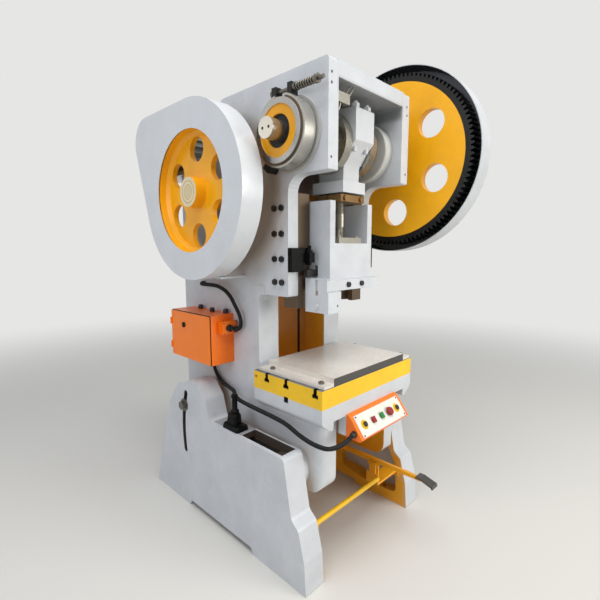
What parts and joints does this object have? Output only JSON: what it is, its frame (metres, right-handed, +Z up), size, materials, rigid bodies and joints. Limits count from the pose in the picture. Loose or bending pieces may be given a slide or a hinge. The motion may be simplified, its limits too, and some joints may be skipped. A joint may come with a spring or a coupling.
{
  "type": "mechanical stamping press",
  "caption": "Open-back inclinable stamping press on two cast legs, with crank, connecting rod, slide, bull gear, belt-driven flywheel and guards",
  "frame": {"origin": "Centre of the four floor bolts, on the floor.", "axes": "+X is to the right seen from the front, +Y is towards the back, +Z is up. The operator stands on the -Y side."},
  "size_m": [1.085, 1.4997, 2.337],
  "materials": {
    "grey_paint": "satin, lightly worn",
    "motor_paint": "satin",
    "yellow_paint": "semi-gloss",
    "orange_paint": "semi-gloss",
    "white_paint": "satin",
    "dark_steel": "dark, lightly oiled",
    "greased_iron": "dark and greased",
    "machined_iron": "machined, oiled",
    "ground_steel": "ground",
    "bronze": "dull bronze",
    "belt_rubber": "matte",
    "lining": "matte",
    "black_plastic": "semi-gloss",
    "red_plastic": "semi-gloss",
    "green_plastic": "semi-gloss"
  },
  "bodies": {
    "stand": {"left_leg": "grey_paint", "right_leg": "grey_paint", "tilt_pins": "dark_steel", "stay_rods": "yellow_paint", "pedal_bracket": "yellow_paint", "tilt_stop": "dark_steel"},
    "pedal": {"pedal_lever": "yellow_paint", "pedal_pad": "ground_steel"},
    "frame": {"c_frame": "grey_paint", "bolster_plate": "ground_steel", "bolster_bolts": "dark_steel", "gibs": "machined_iron", "gib_screws": "dark_steel", "crank_bushes": "grey_paint", "brake_band": "ground_steel", "brake_lining": "lining", "brake_spring": "dark_steel", "back_shaft_bearings": "grey_paint", "gear_guard": "grey_paint", "belt_guard": "grey_paint", "motor": "motor_paint", "motor_plate": "grey_paint", "v_belts": "belt_rubber", "control_box": "orange_paint", "isolator_box": "orange_paint", "button_box": "orange_paint", "panel_plate": "white_paint", "motor_conduit": "belt_rubber", "panel_conduit": "belt_rubber", "knockout_stops": "dark_steel", "grease_block": "bronze", "tilt_clamp_bolts": "dark_steel"},
    "crank": {"crankshaft": "ground_steel", "brake_drum": "machined_iron"},
    "gear": {"bull_gear": "greased_iron"},
    "back_shaft": {"flywheel": "yellow_paint", "pinion_shaft": "greased_iron"},
    "motor_rotor": {"motor_pulley": "greased_iron"},
    "rod": {"connecting_rod": "grey_paint", "rod_cap": "grey_paint", "rod_bolts": "dark_steel", "rod_bush": "bronze", "screw_lock": "bronze"},
    "screw": {"adjusting_screw": "dark_steel"},
    "ram": {"slide": "grey_paint", "ball_retainer": "bronze", "shank_clamp": "grey_paint", "shank_clamp_bolts": "dark_steel", "feed_striker": "machined_iron"},
    "knockout": {"knockout_bar": "dark_steel"},
    "trip_rod": {"push_rod": "dark_steel"},
    "trip_arm": {"trip_lever": "dark_steel"},
    "door": {"control_door": "orange_paint"},
    "lock": {"door_lock": "black_plastic"},
    "knob": {"isolator_knob": "black_plastic"},
    "left_button": {"button_left": "black_plastic"},
    "stop_button": {"button_stop": "red_plastic"},
    "start_button": {"button_start": "green_plastic"},
    "emergency_button": {"button_emergency": "red_plastic"},
    "right_button": {"button_right": "black_plastic"}
  },
  "joints": [
    {"name": "frame_tilt", "type": "hinge", "parent": "stand", "child": "frame", "pos_m": [0, -0.4, 0.43], "axis": [-1, 0, 0], "range_deg": [0, 9]},
    {"name": "crank_turn", "type": "hinge", "parent": "frame", "child": "crank", "pos_m": [0, -0.4, 1.861], "axis": [-1, 0, 0], "range_deg": [0, 180]},
    {"name": "rod_pin", "type": "hinge", "parent": "crank", "child": "rod", "pos_m": [0, -0.4, 1.911], "axis": [-1, 0, 0], "range_deg": [-180, 0]},
    {"name": "slide_stroke", "type": "slide", "parent": "frame", "child": "ram", "axis": [0, 0, 1], "range_m": [-0.1002, 0]},
    {"name": "screw_turn", "type": "hinge", "parent": "rod", "child": "screw", "pos_m": [0, -0.4, 1.6], "axis": [0, 0, 1], "continuous": true},
    {"name": "knockout_lift", "type": "slide", "parent": "ram", "child": "knockout", "axis": [0, 0, 1], "range_m": [0, 0.017]},
    {"name": "gear_turn", "type": "hinge", "parent": "frame", "child": "gear", "pos_m": [0, -0.4, 1.861], "axis": [1, 0, 0], "continuous": true},
    {"name": "back_shaft_turn", "type": "hinge", "parent": "frame", "child": "back_shaft", "pos_m": [0, 0.05606, 1.65604], "axis": [1, 0, 0], "continuous": true},
    {"name": "motor_turn", "type": "hinge", "parent": "frame", "child": "motor_rotor", "pos_m": [-0.429, 0.43406, 1.93504], "axis": [1, 0, 0], "continuous": true},
    {"name": "pedal_press", "type": "hinge", "parent": "stand", "child": "pedal", "pos_m": [0.15, -0.531, 0.3], "axis": [1, 0, 0], "range_deg": [0, 4], "stiffness_Nm_per_rad": 60, "springref_deg": -5.73},
    {"name": "trip_rod_lift", "type": "slide", "parent": "frame", "child": "trip_rod", "axis": [0, 0, 1], "range_m": [0, 0.042]},
    {"name": "trip_arm_swing", "type": "hinge", "parent": "frame", "child": "trip_arm", "pos_m": [0.222, -0.026, 1.56], "axis": [1, 0, 0], "range_deg": [0, 28]},
    {"name": "door_swing", "type": "hinge", "parent": "frame", "child": "door", "pos_m": [-0.443, 0.403, 0.95], "axis": [0, 0, -1], "range_deg": [0, 110]},
    {"name": "lock_turn", "type": "hinge", "parent": "door", "child": "lock", "pos_m": [-0.44, 0.274, 1.005], "axis": [-1, 0, 0], "range_deg": [0, 90]},
    {"name": "isolator_turn", "type": "hinge", "parent": "frame", "child": "knob", "pos_m": [-0.354, -0.002, 1.013], "axis": [0, -1, 0], "range_deg": [0, 90]},
    {"name": "left_press", "type": "slide", "parent": "frame", "child": "left_button", "axis": [0, 0.7944, -0.6074], "range_m": [0, 0.004], "stiffness_N_per_m": 500, "springref_m": -0.002},
    {"name": "stop_press", "type": "slide", "parent": "frame", "child": "stop_button", "axis": [0, 0.7944, -0.6074], "range_m": [0, 0.004], "stiffness_N_per_m": 500, "springref_m": -0.002},
    {"name": "start_press", "type": "slide", "parent": "frame", "child": "start_button", "axis": [0, 0.7944, -0.6074], "range_m": [0, 0.004], "stiffness_N_per_m": 500, "springref_m": -0.002},
    {"name": "emergency_press", "type": "slide", "parent": "frame", "child": "emergency_button", "axis": [0, 0.7944, -0.6074], "range_m": [0, 0.004], "stiffness_N_per_m": 500, "springref_m": -0.002},
    {"name": "right_press", "type": "slide", "parent": "frame", "child": "right_button", "axis": [0, 0.7944, -0.6074], "range_m": [0, 0.004], "stiffness_N_per_m": 500, "springref_m": -0.002}
  ],
  "couplings": [
    {"joint": "rod_pin", "follows": "crank_turn", "ratio": -1},
    {"joint": "slide_stroke", "follows": "crank_turn", "m_per_rad": -0.031831},
    {"joint": "back_shaft_turn", "follows": "gear_turn", "ratio": -6.3529},
    {"joint": "motor_turn", "follows": "gear_turn", "ratio": -32.294},
    {"joint": "trip_rod_lift", "follows": "pedal_press", "m_per_rad": 0.595},
    {"joint": "trip_arm_swing", "follows": "pedal_press", "ratio": 6.6}
  ]
}
